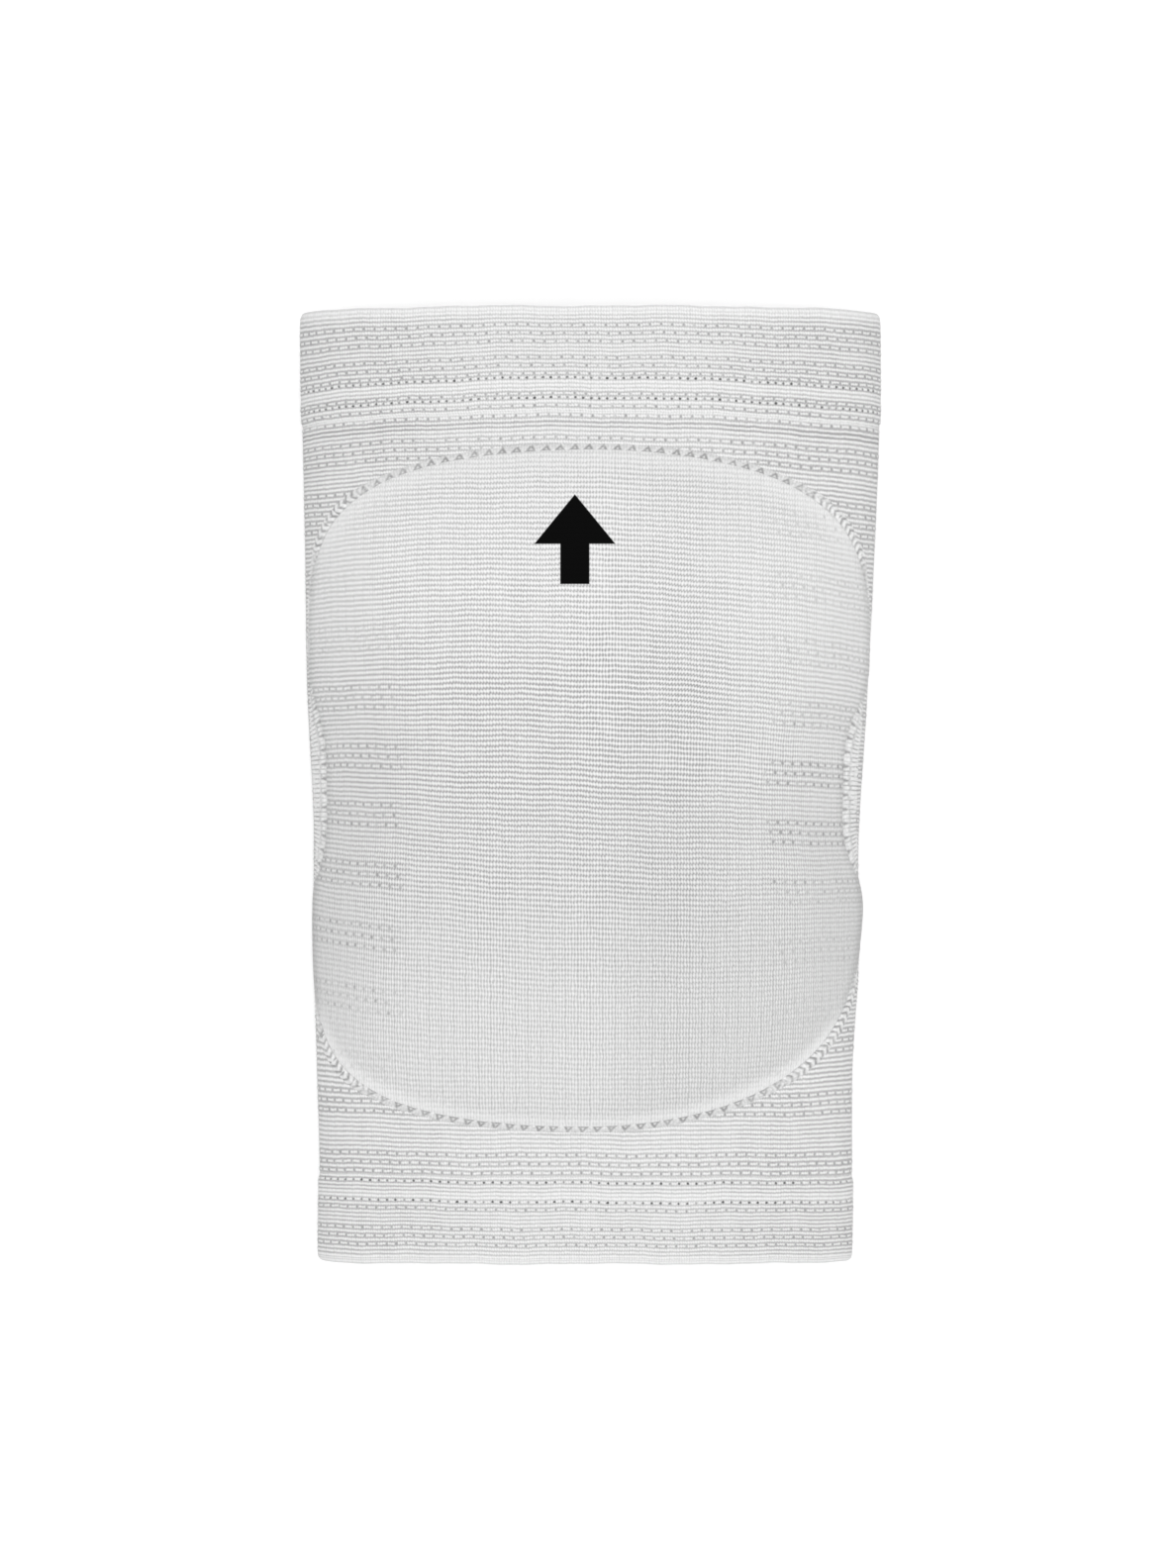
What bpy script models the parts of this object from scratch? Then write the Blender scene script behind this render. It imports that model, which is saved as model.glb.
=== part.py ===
"""Knitted volleyball knee pad, lying on its back as it does by itself.

Metres. +Z is up off the table, +Y runs along the leg towards the thigh, and +X is across.
The origin is on the table, under the middle of the pad's whole length and width.
"""

import math

import bmesh
import bpy
import numpy as np

# Driving dimensions of the knitted tube
LENGTH = 0.240
FLAT_WIDTH = 0.148
CROWN_HEIGHT = 0.027
FOLD_HEIGHT = 0.007
FOLD_REACH = 0.010
KNIT_WALL = 0.0015

# Turned welts, knitted double, at the two ends
THIGH_CUFF_LENGTH = 0.0266
CALF_CUFF_LENGTH = 0.0220
WELT_WALL = 0.0028
CUFF_STEP = 0.0004

# Foam pad and the knitted panel that is sewn down over it
PAD_LENGTH = 0.1701
PAD_HALF_WIDTH = 0.0692
PAD_TOWARDS_CALF = 0.00070
FOAM_THICKNESS = 0.0165
COVER_WALL = 0.0015
COVER_RIM = 0.0008
LEFT_WAIST = 0.0040
RIGHT_WAIST = 0.0058
WAIST_SPAN = 0.22  # share of half of PAD_LENGTH
DOME_POWER = 4.2
DOME_FULLNESS = 1.0

# Clearance between pieces that touch
SEAT_GAP = 0.0003

# Mesh fineness
FRONT_STEPS = 14
FOLD_STEPS = 5
BACK_STEPS = 8
SLEEVE_STATIONS = 16
PAD_SPOKES = 60
BEND_PULL = 0.035  # metres of outline to each radian of bend
OUTLINE_SAMPLES = 400
WELT_STEPS = 4
SHARP_FROM = math.radians(40)

# Cross-sections along the tube, from the calf end to the thigh end. along is a share of LENGTH,
# left and right are shares of half of FLAT_WIDTH, crown is a share of CROWN_HEIGHT, and
# squareness is the power that shapes the front from side fold to side fold.
SECTION_COLUMNS = ("along", "left", "right", "crown", "squareness")
SECTIONS = (
    (0.00, 0.927, 0.890, 0.70, 4.2),
    (0.10, 0.925, 0.895, 0.73, 4.1),
    (0.20, 0.935, 0.898, 0.82, 3.7),
    (0.30, 0.947, 0.918, 0.90, 3.5),
    (0.45, 0.946, 0.918, 0.96, 3.3),
    (0.60, 0.967, 0.945, 0.98, 3.2),
    (0.76, 0.975, 0.971, 1.00, 3.0),
    (0.88, 0.983, 0.987, 1.00, 3.0),
    (1.00, 0.987, 0.987, 1.00, 3.0),
)

# Outline of the pad, a quarter at a time. width is a share of PAD_HALF_WIDTH, and the two powers
# say how full the corner is along and across the leg.
CORNER_COLUMNS = ("side", "end", "width", "along_power", "across_power")
CORNERS = (
    ("left", "thigh", 1.025, 8.0, 2.2),
    ("right", "thigh", 1.024, 8.0, 2.1),
    ("left", "calf", 0.990, 8.0, 2.2),
    ("right", "calf", 0.978, 5.5, 1.8),
)

# Shares of the way from the pad's middle to its outline, at which its rings lie
PAD_RINGS = (0.0, 0.28, 0.47, 0.62, 0.74, 0.84, 0.91, 0.96, 0.99, 1.0)


def column(row, name):
    return row[SECTION_COLUMNS.index(name)]


def section_value(name, along):
    """A column of SECTIONS at a share of the length, on a smooth curve through its rows."""
    shares = [column(row, "along") for row in SECTIONS]
    values = [column(row, name) for row in SECTIONS]
    slopes = np.gradient(values, shares)
    along = min(max(along, shares[0]), shares[-1])
    k = min(int(np.searchsorted(shares, along, side="right")) - 1, len(shares) - 2)
    span = shares[k + 1] - shares[k]
    t = (along - shares[k]) / span
    start = (1 + 2 * t) * (1 - t) ** 2 * values[k] + t * (1 - t) ** 2 * slopes[k] * span
    end = t * t * (3 - 2 * t) * values[k + 1] + t * t * (t - 1) * slopes[k + 1] * span
    return start + end


def section(y, proud):
    """Sizes of the cross-section at y: left and right half widths, crown height, squareness."""
    along = y / LENGTH + 0.5
    return (
        section_value("left", along) * FLAT_WIDTH / 2 + proud,
        section_value("right", along) * FLAT_WIDTH / 2 + proud,
        section_value("crown", along) * CROWN_HEIGHT + proud,
        section_value("squareness", along),
    )


def seat_height(x, y):
    """Height above the table at which the pad lies on the front of the sleeve."""
    left, right, crown, power = section(y, SEAT_GAP)
    share = min(abs(x) / (left if x < 0 else right), 1.0)
    return FOLD_HEIGHT + (crown - FOLD_HEIGHT) * math.sqrt(1 - share**power)


def resampled(points, steps):
    """The polyline again as steps + 1 points, which lie closer together where it bends."""
    edges = np.diff(points, axis=0)
    headings = np.unwrap(np.arctan2(edges[:, 1], edges[:, 0]))
    bends = np.abs(np.diff(headings, prepend=headings[0]))
    along = np.concatenate([[0], np.cumsum(np.linalg.norm(edges, axis=1) + BEND_PULL * bends)])
    at = np.linspace(0, along[-1], steps + 1)
    return np.stack([np.interp(at, along, points[:, k]) for k in range(points.shape[1])], axis=1)


def loop_points(y, proud):
    """(x, z) of the tube's outer face at y, once round: the front from the left, then the back."""
    left, right, crown, power = section(y, proud)
    turn = np.linspace(0, np.pi / 2, FRONT_STEPS + 1)
    across = np.cos(turn).clip(0) ** (2 / power)
    rise = FOLD_HEIGHT + (crown - FOLD_HEIGHT) * np.sin(turn)
    left_front = np.stack([-left * across, rise], axis=1)
    right_front = np.stack([right * across, rise], axis=1)[::-1]
    front = np.concatenate([left_front, right_front[1:]])
    quarter = np.linspace(0, np.pi / 2, FOLD_STEPS + 1)
    inward, down = FOLD_REACH * (1 - np.cos(quarter)), FOLD_HEIGHT * (1 - np.sin(quarter))
    right_fold = np.stack([right - inward, down], axis=1)
    left_fold = np.stack([inward - left, down], axis=1)[::-1]
    back = np.linspace(right_fold[-1], left_fold[0], BACK_STEPS + 1)
    return np.concatenate([front, right_fold[1:], back[1:], left_fold[1:-1]])


def inset(points, depth):
    """A closed outline moved inwards by depth, its corners mitred. It runs clockwise."""
    before, after = np.roll(points, 1, axis=0), np.roll(points, -1, axis=0)

    def inward(edges):
        edges = edges / np.linalg.norm(edges, axis=1, keepdims=True)
        return np.stack([edges[:, 1], -edges[:, 0]], axis=1)

    first, second = inward(points - before), inward(after - points)
    middle = first + second
    return points + depth * 2 * middle / (middle * middle).sum(axis=1, keepdims=True)


def knit_material(name, colour, roughness):
    material = bpy.data.materials.new(name)
    material.use_nodes = True
    shader = material.node_tree.nodes["Principled BSDF"]
    shader.inputs["Base Color"].default_value = (*colour, 1.0)
    shader.inputs["Roughness"].default_value = roughness
    shader.inputs["Metallic"].default_value = 0.0
    return material


def finished(mesh, name, material, collection):
    """Makes a mesh the named object of the collection, smooth but for its real edges."""
    mesh.name = name
    mesh.shade_smooth()
    mesh.set_sharp_from_angle(angle=SHARP_FROM)
    mesh.materials.append(material)
    part = bpy.data.objects.new(name, mesh)
    collection.objects.link(part)
    return part


def knitted_band(name, profile, proud, material, collection):
    """A closed band round the leg, shaped from a torus. profile goes once round the band's wall,
    as places along Y and depths under the outer face."""
    loops = [inset(loop_points(y, proud), depth) for y, depth in profile]
    count = len(loops[0])
    bpy.ops.mesh.primitive_torus_add(major_segments=count, minor_segments=len(profile))
    ring = bpy.context.object
    mesh = ring.data
    bpy.data.objects.remove(ring, do_unlink=True)
    places = np.empty((count, len(profile), 3))
    for step, ((y, _), loop) in enumerate(zip(profile, loops)):
        places[:, step, 0] = loop[:, 0]
        places[:, step, 1] = y
        places[:, step, 2] = loop[:, 1]
    mesh.vertices.foreach_set("co", places.ravel())
    return finished(mesh, name, material, collection)


def pad_edge(share, side):
    """How far the pad's outline lies from the middle line, at a share of its half length."""
    rows = {row[1]: dict(zip(CORNER_COLUMNS, row)) for row in CORNERS if row[0] == side}
    end = rows["thigh"] if share > 0 else rows["calf"]
    thigh_part = (share + 1) / 2
    width = rows["thigh"]["width"] * thigh_part + rows["calf"]["width"] * (1 - thigh_part)
    full = (1 - abs(share) ** end["along_power"]) ** (1 / end["across_power"])
    waist = LEFT_WAIST if side == "left" else RIGHT_WAIST
    return width * PAD_HALF_WIDTH * full - waist * math.exp(-((share / WAIST_SPAN) ** 2))


def pad_outline():
    """(x, y) once round the pad, clockwise from the calf end, in PAD_SPOKES steps."""
    shares = np.sin(np.linspace(-np.pi / 2, np.pi / 2, OUTLINE_SAMPLES))
    shares[0], shares[-1] = -1.0, 1.0
    y = shares * PAD_LENGTH / 2 - PAD_TOWARDS_CALF
    left = np.array([-pad_edge(share, "left") for share in shares])
    right = np.array([pad_edge(share, "right") for share in shares])
    up = np.stack([left, y], axis=1)
    down = np.stack([right, y], axis=1)[::-1]
    return resampled(np.concatenate([up, down[1:]]), PAD_SPOKES)[:-1]


def domed_body(name, rings, material, collection):
    """A closed body on the sleeve's front. Each ring has its reach from the pad's middle, how far
    its outline is set in, and its lift off the seat. The first and the last are single points."""
    outline = pad_outline()
    middle = np.array([0.0, -PAD_TOWARDS_CALF])
    outlines = {depth: inset(outline, depth) for _, depth, _ in rings}
    bm = bmesh.new()
    bmesh.ops.create_uvsphere(bm, u_segments=PAD_SPOKES, v_segments=len(rings) - 1, radius=1.0)
    for vert in bm.verts:
        level = round(math.acos(max(-1.0, min(1.0, vert.co.z))) / math.pi * (len(rings) - 1))
        reach, depth, lift = rings[level]
        spoke = round(-math.atan2(vert.co.y, vert.co.x) / math.tau * PAD_SPOKES) % PAD_SPOKES
        x, y = middle + reach * (outlines[depth][spoke] - middle)
        vert.co = (x, y, seat_height(x, y) + lift)
    mesh = bpy.data.meshes.new(name)
    bm.to_mesh(mesh)
    bm.free()
    return finished(mesh, name, material, collection)


def dome(reach):
    """Height of the pad's dome at a reach from its middle, as a share of its height there."""
    return max(0.0, 1 - reach**DOME_POWER) ** DOME_FULLNESS


def make_sleeve(collection):
    """The single layer tube between the two welts."""
    low = -LENGTH / 2 + CALF_CUFF_LENGTH + SEAT_GAP
    high = LENGTH / 2 - THIGH_CUFF_LENGTH - SEAT_GAP
    stations = np.linspace(low, high, SLEEVE_STATIONS + 1)
    profile = [(y, 0.0) for y in stations] + [(y, KNIT_WALL) for y in stations[::-1]]
    material = knit_material("sleeve_knit", (0.72, 0.72, 0.71), 0.85)
    return knitted_band("knit_sleeve", profile, 0.0, material, collection)


def make_cuff(name, inner_end, free_end, collection, material):
    """A welt: knitted double and turned in, with a round fold at the free end."""
    outward = math.copysign(1.0, free_end - inner_end)
    radius = WELT_WALL / 2
    straight = np.linspace(inner_end, free_end - outward * radius, WELT_STEPS + 1)
    turn = [math.pi * k / WELT_STEPS for k in range(1, WELT_STEPS)]
    nose = [
        (free_end - outward * radius * (1 - math.sin(angle)), radius * (1 - math.cos(angle)))
        for angle in turn
    ]
    profile = [(y, 0.0) for y in straight] + nose + [(y, WELT_WALL) for y in straight[::-1]]
    if outward < 0:
        profile.reverse()
    return knitted_band(name, profile, CUFF_STEP, material, collection)


def make_cuffs(collection):
    material = knit_material("cuff_knit", (0.72, 0.72, 0.71), 0.85)
    thigh_end, calf_end = LENGTH / 2, -LENGTH / 2
    make_cuff("thigh_cuff", thigh_end - THIGH_CUFF_LENGTH, thigh_end, collection, material)
    make_cuff("calf_cuff", calf_end + CALF_CUFF_LENGTH, calf_end, collection, material)


def make_foam(collection):
    """The foam pad, which lies on the sleeve under its cover."""
    edge = COVER_WALL + SEAT_GAP
    top = [(reach, edge, FOAM_THICKNESS * dome(reach)) for reach in PAD_RINGS]
    under = [(reach, edge, 0.0) for reach in PAD_RINGS[-2::-1]]
    material = knit_material("foam", (0.80, 0.79, 0.75), 0.90)
    return domed_body("foam_pad", top + under, material, collection)


def make_cover(collection):
    """The knitted panel over the foam, sewn down to the sleeve along its flat rim."""
    inside = FOAM_THICKNESS + SEAT_GAP
    height = inside + COVER_WALL - COVER_RIM
    outer = [(reach, 0.0, COVER_RIM + height * dome(reach)) for reach in PAD_RINGS]
    flange = [(1.0, 0.0, 0.0)]
    inner = [(reach, COVER_WALL, inside * dome(reach)) for reach in PAD_RINGS[::-1]]
    material = knit_material("pad_knit", (0.72, 0.72, 0.71), 0.85)
    return domed_body("pad_cover", outer + flange + inner, material, collection)


def clear_scene():
    for item in list(bpy.data.objects):
        bpy.data.objects.remove(item, do_unlink=True)


def main():
    clear_scene()
    collection = bpy.data.collections.new("volleyball_knee_pad")
    bpy.context.scene.collection.children.link(collection)
    make_sleeve(collection)
    make_cuffs(collection)
    make_foam(collection)
    make_cover(collection)


main()
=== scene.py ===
"""The looks of a white knitted volleyball knee pad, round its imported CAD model.

Metres. The pad lies on its back: +Z up through the pad, +Y along the leg to the thigh, +X across.
"""

import math

import bmesh
import bpy
import numpy as np
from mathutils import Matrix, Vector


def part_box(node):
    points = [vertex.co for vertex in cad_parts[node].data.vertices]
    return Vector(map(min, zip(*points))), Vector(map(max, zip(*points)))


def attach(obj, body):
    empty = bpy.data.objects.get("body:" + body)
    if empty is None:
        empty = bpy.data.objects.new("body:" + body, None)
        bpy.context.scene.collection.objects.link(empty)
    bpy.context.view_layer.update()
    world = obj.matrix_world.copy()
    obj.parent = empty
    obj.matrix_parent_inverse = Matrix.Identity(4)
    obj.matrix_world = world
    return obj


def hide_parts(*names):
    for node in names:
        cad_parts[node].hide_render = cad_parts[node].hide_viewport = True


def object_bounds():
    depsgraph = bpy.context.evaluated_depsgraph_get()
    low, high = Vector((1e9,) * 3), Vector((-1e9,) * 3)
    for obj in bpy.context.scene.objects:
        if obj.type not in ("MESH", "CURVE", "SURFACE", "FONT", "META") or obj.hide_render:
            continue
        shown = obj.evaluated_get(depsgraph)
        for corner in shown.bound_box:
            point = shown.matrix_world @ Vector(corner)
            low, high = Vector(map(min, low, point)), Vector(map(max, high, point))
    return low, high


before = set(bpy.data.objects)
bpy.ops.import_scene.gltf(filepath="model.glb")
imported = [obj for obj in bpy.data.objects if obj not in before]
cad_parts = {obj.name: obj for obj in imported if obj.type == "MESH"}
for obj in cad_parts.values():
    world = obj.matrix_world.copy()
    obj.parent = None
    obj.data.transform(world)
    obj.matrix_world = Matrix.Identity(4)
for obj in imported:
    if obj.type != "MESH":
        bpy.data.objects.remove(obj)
CAD_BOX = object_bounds()


# Knit sleeve
# A seamless tube of white elasticated yarn, knitted round on a circular machine. Its courses run
# round the leg, and every few courses a tuck row throws long floats, which read as small bricks.
LENGTH = CAD_BOX[1][1] - CAD_BOX[0][1]
FLAT_WIDTH = 0.148
CROWN_HEIGHT = 0.027
FOLD_HEIGHT = 0.007
FOLD_REACH = 0.010
SLEEVE_WALL = 0.0015
LOOP_SAMPLES = 48

# Cross-sections from the calf end to the thigh end: place as a share of LENGTH, half widths as
# shares of half of FLAT_WIDTH, crown as a share of CROWN_HEIGHT, and how square the front is
SECTION_COLUMNS = ("along", "left", "right", "crown", "squareness")
SECTIONS = np.array([
    (0.00, 0.927, 0.890, 0.70, 4.2),
    (0.10, 0.925, 0.895, 0.73, 4.1),
    (0.20, 0.935, 0.898, 0.82, 3.7),
    (0.30, 0.947, 0.918, 0.90, 3.5),
    (0.45, 0.946, 0.918, 0.96, 3.3),
    (0.60, 0.967, 0.945, 0.98, 3.2),
    (0.76, 0.975, 0.971, 1.00, 3.0),
    (0.88, 0.983, 0.987, 1.00, 3.0),
    (1.00, 0.987, 0.987, 1.00, 3.0),
])

# How the courses bend on the front, from the calf end to the thigh end: arch is how far their
# sides lie nearer the calf than their middle, and skew how far the right side does, in metres
BEND_COLUMNS = ("along", "arch", "skew")
BENDS = np.array([
    (0.000, 0.0000, 0.0000),
    (0.040, -0.0002, 0.0004),
    (0.130, -0.0004, 0.0002),
    (0.190, -0.0012, 0.0005),
    (0.240, -0.0028, 0.0014),
    (0.285, -0.0028, 0.0018),
    (0.370, -0.0022, 0.0025),
    (0.450, -0.0008, 0.0027),
    (0.530, 0.0010, 0.0026),
    (0.615, 0.0025, 0.0025),
    (0.700, 0.0028, 0.0020),
    (0.850, 0.0023, 0.0008),
    (0.880, 0.0023, 0.0003),
    (0.965, 0.0014, 0.0000),
    (1.000, 0.0003, 0.0000),
])
BEND_HALF_WIDTH = 0.0646

# No course lies quite straight on cloth that has been worn and washed: height, length across and
# length along of each soft wave, in metres
STRAY_WAVES = ((0.00014, 0.0430, 0.0900), (0.00008, 0.0190, -0.0520), (0.00004, 0.0083, 0.0310))

# The knit all round: wales counted round the tube, and how many of them a float takes
WALES_ROUND = 456
WALES_A_FLOAT = 4
ROWS_A_COURSE = 4
COURSE_PITCH = 0.0011
COURSE_RELIEF = 0.00016
CREST_FULLNESS = 0.8
SHARP_FROM_DEGREES = 75

# Kinds of course: T is a tuck row, H a row of holes, d a deep course, s a smooth one and p a plain
# one. How proud each stands, and how strongly the painted shade in the gaps at its foot shows
CREST = {"T": 1.3, "H": 1.0, "d": 1.3, "s": 0.6, "p": 1.0}
GAPS_SHOW = {"T": 1.0, "H": 1.0, "d": 1.4, "s": 0.75, "p": 1.0}

# How strongly the painted shade in the same gaps shows inside the tube, on its stretched front and
# at its slacker folds, and the shares of the way from the middle to a fold between which it changes
GAPS_INSIDE = 0.4
GAPS_ON_FRONT = 0.68
GAPS_AT_FOLDS = 0.88
GAPS_CHANGE = (0.3, 0.8)

# How plain tuck rows are on the front at shares of the length. They are full at the folds
TUCK_ON_FRONT = ((0.0, 0.25, 0.75, 1.0), (1.0, 0.95, 0.70, 0.90))
TUCK_CHANGE = (0.42, 0.68)
HOLE_RIM = (0.6, 1.0)

# What each point of the knit carries for its finish
KNIT_TRAITS = ("tuck", "holes", "relief", "slant", "sheer_shade")


def smooth_curve(table, columns, name, along):
    """A column of a table at shares of the length, on a smooth curve through its rows."""
    shares = table[:, 0]
    values = table[:, columns.index(name)]
    slopes = np.gradient(values, shares)
    along = np.clip(along, shares[0], shares[-1])
    k = np.clip(np.searchsorted(shares, along, side="right") - 1, 0, len(shares) - 2)
    span = shares[k + 1] - shares[k]
    t = (along - shares[k]) / span
    start = (1 + 2 * t) * (1 - t) ** 2 * values[k] + t * (1 - t) ** 2 * slopes[k] * span
    return start + t * t * (3 - 2 * t) * values[k + 1] + t * t * (t - 1) * slopes[k + 1] * span


def section(y):
    """Left and right half widths, crown height and squareness of the sleeve at places along it."""
    along = y / LENGTH + 0.5
    left, right, crown, power = (
        smooth_curve(SECTIONS, SECTION_COLUMNS, name, along) for name in SECTION_COLUMNS[1:]
    )
    return left * FLAT_WIDTH / 2, right * FLAT_WIDTH / 2, crown * CROWN_HEIGHT, power


def sleeve_outline(y, proud):
    """(x, z) once round the sleeve at one place along it, from the middle of its back and over
    its left fold, front and right fold to its back again."""
    left, right, crown, power = (float(size) for size in section(np.array(y)))
    left, right, crown = left + proud, right + proud, crown + proud
    turn = np.linspace(0, np.pi / 2, LOOP_SAMPLES)
    across = np.cos(turn).clip(0) ** (2 / power)
    rise = FOLD_HEIGHT + (crown - FOLD_HEIGHT) * np.sin(turn)
    quarter = np.linspace(0, np.pi / 2, LOOP_SAMPLES // 3)
    inward, down = FOLD_REACH * (1 - np.sin(quarter)), FOLD_HEIGHT * (1 - np.cos(quarter))
    left_fold = np.stack([inward - left, down], axis=1)[:-1]
    right_fold = np.stack([right - inward, down], axis=1)[:-1][::-1]
    left_front = np.stack([-left * across, rise], axis=1)
    right_front = np.stack([right * across, rise], axis=1)[::-1]
    middle = np.zeros((1, 2))
    return np.concatenate([middle, left_fold, left_front, right_front[1:], right_fold, middle])


def course_drop(y, x, z):
    """How far a course lies nearer the calf at x than at its middle."""
    along = y / LENGTH + 0.5
    arch = smooth_curve(BENDS, BEND_COLUMNS, "arch", along)
    skew = smooth_curve(BENDS, BEND_COLUMNS, "skew", along)
    reach = x / BEND_HALF_WIDTH
    front = np.clip(z / FOLD_HEIGHT, 0, 1)
    stray = sum(
        height * np.sin(2 * np.pi * (x / across + y / lengthwise))
        for height, across, lengthwise in STRAY_WAVES
    )
    return arch * (front * reach**2 + 1 - front) + skew * reach + stray


def fold_share(x, y):
    left, right, _, _ = section(y)
    return np.abs(x) / np.where(x < 0, left, right)


def smooth_step(value, low, high):
    t = np.clip((value - low) / (high - low), 0, 1)
    return t * t * (3 - 2 * t)


def course_rows(chart, start, end):
    """The rows of points that a chart of courses needs, from start to end along the leg."""
    rows = []
    pitch = (end - start) / len(chart)
    for number, kind in enumerate(chart):
        for step in range(ROWS_A_COURSE):
            part = step / ROWS_A_COURSE
            rows.append({
                "y": start + (number + part) * pitch,
                "lift": COURSE_RELIEF * CREST[kind] * math.sin(math.pi * part) ** CREST_FULLNESS,
                "course": number + part,
                "tuck": float(kind == "T" and step > 0),
                "holes": float(kind == "H" and step > 0),
                "relief": GAPS_SHOW[kind],
            })
    return rows


def plain_rows(places, course):
    """Rows with no chart, for turned ends and insides, from (y, lift) pairs. Their courses are
    counted on by the way along the wall."""
    way = [0.0]
    for (y, lift), (next_y, next_lift) in zip(places, places[1:]):
        way.append(way[-1] + math.hypot(next_y - y, next_lift - lift))
    rows = []
    for (y, lift), gone in zip(places, way):
        rows.append({
            "y": y,
            "lift": lift,
            "course": course + gone / COURSE_PITCH,
            "tuck": 0.0,
            "holes": 0.0,
            "relief": GAPS_INSIDE,
        })
    return rows


def grid_mesh(name, columns, rows):
    """A flat grid with a UV map, and each point's column and row."""
    bm = bmesh.new()
    bm.loops.layers.uv.new("knit")
    bmesh.ops.create_grid(bm, x_segments=columns, y_segments=rows, size=0.5, calc_uvs=True)
    mesh = bpy.data.meshes.new(name)
    bm.to_mesh(mesh)
    bm.free()
    flat = np.empty(len(mesh.vertices) * 3)
    mesh.vertices.foreach_get("co", flat)
    flat = flat.reshape(-1, 3)
    column = np.rint((flat[:, 0] + 0.5) * columns).astype(int)
    row = np.rint((flat[:, 1] + 0.5) * rows).astype(int)
    return mesh, column, row


def shape_grid(mesh, column, row, points, uv, traits):
    """Moves a grid's points to their places and gives them their knit coordinates and traits.
    points is (rows, columns, 3), uv (rows, columns, 2), and each trait (rows, columns)."""
    mesh.vertices.foreach_set("co", points[row, column].ravel())
    corners = np.empty(len(mesh.loops), dtype=np.int32)
    mesh.loops.foreach_get("vertex_index", corners)
    mesh.uv_layers["knit"].data.foreach_set("uv", uv[row[corners], column[corners]].ravel())
    for trait, values in traits.items():
        layer = mesh.attributes.new(trait, "FLOAT", "POINT")
        layer.data.foreach_set("value", values[row, column].astype(np.float32))


def weld(mesh, distance=1e-7):
    """Closes a shaped grid where its edges meet."""
    bm = bmesh.new()
    bm.from_mesh(mesh)
    bmesh.ops.remove_doubles(bm, verts=bm.verts, dist=distance)
    bmesh.ops.dissolve_degenerate(bm, dist=distance, edges=bm.edges)
    bm.to_mesh(mesh)
    bm.free()


def knit_piece(mesh, material):
    mesh.shade_smooth()
    mesh.set_sharp_from_angle(angle=math.radians(SHARP_FROM_DEGREES))
    mesh.materials.append(material)
    piece = bpy.data.objects.new(mesh.name, mesh)
    bpy.context.scene.collection.objects.link(piece)
    return piece


def tuck_strength(x, y):
    """Tuck rows show less where the front is stretched flat."""
    middle = np.interp(y / LENGTH + 0.5, *TUCK_ON_FRONT)
    return middle + (1 - middle) * smooth_step(fold_share(x, y), *TUCK_CHANGE)


def knit_tube(name, rows, columns, proud, holes_round=0, hole_depth=0.0):
    """A closed tube wall. rows go along its outside to the thigh and back along its inside."""
    mesh, column, row = grid_mesh(name, columns, len(rows))
    share = np.linspace(0, 1, columns + 1)
    points = np.empty((len(rows) + 1, columns + 1, 3))
    y = np.array([item["y"] for item in rows])
    lift = np.array([item["lift"] for item in rows])
    holes = np.array([item["holes"] for item in rows])
    hole_here = smooth_step(np.cos(np.pi * (share - 0.5) * holes_round) ** 2, *HOLE_RIM)
    for k in range(len(rows)):
        outline = sleeve_outline(y[k], proud)
        along = np.concatenate([[0], np.cumsum(np.linalg.norm(np.diff(outline, axis=0), axis=1))])
        x = np.interp(share * along[-1], along, outline[:, 0])
        z = np.interp(share * along[-1], along, outline[:, 1])
        heading = np.stack([np.gradient(x), np.gradient(z)], axis=1)
        heading[0] = heading[-1] = (-1, 0)
        heading /= np.linalg.norm(heading, axis=1, keepdims=True)
        out = lift[k] - holes[k] * hole_depth * hole_here
        points[k, :, 0] = x - heading[:, 1] * out
        points[k, :, 2] = np.maximum(z + heading[:, 0] * out, 0.0)
        points[k, :, 1] = y[k] - course_drop(y[k], x, z)
    points[-1] = points[0]
    course = np.array([item["course"] for item in rows] + [rows[-1]["course"] + 1])
    uv = np.empty(points.shape[:2] + (2,))
    uv[:, :, 0] = (share - 0.5) * WALES_ROUND
    uv[:, :, 1] = course[:, None]
    tuck = np.array([item["tuck"] for item in rows] + [0.0])
    relief = np.array([item["relief"] for item in rows] + [rows[0]["relief"]])
    folded = smooth_step(fold_share(points[:, :, 0], points[:, :, 1]), *GAPS_CHANGE)
    gaps = GAPS_ON_FRONT + (GAPS_AT_FOLDS - GAPS_ON_FRONT) * folded
    traits = {
        "tuck": tuck[:, None] * tuck_strength(points[:, :, 0], points[:, :, 1]),
        "holes": np.broadcast_to(np.append(holes, 0.0)[:, None], points.shape[:2]),
        "relief": relief[:, None] * gaps,
        "slant": np.ones(points.shape[:2]),
        "sheer_shade": np.zeros(points.shape[:2]),
    }
    shape_grid(mesh, column, row, points, uv, traits)
    weld(mesh)
    return mesh


def wire(tree, node_type, inputs=(), **settings):
    """Adds a node with its settings, and its inputs as values or links, in order."""
    node = tree.nodes.new(node_type)
    for setting, value in settings.items():
        setattr(node, setting, value)
    for socket, value in zip(node.inputs, inputs):
        if isinstance(value, bpy.types.NodeSocket):
            tree.links.new(value, socket)
        elif value is not None:
            socket.default_value = value
    return node


def calc(tree, operation, *inputs):
    return wire(tree, "ShaderNodeMath", inputs, operation=operation).outputs[0]


def ramp(tree, value, low, high):
    """0 below low and 1 above high, or the other way round where low is above high."""
    down = low > high
    limits = (value, high, low, 1.0, 0.0) if down else (value, low, high, 0.0, 1.0)
    node = wire(tree, "ShaderNodeMapRange", limits, interpolation_type="SMOOTHSTEP")
    return node.outputs[0]


# The yarn's own tone, the painted shade in its gaps, and the darker painted shade inside the holes
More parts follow.
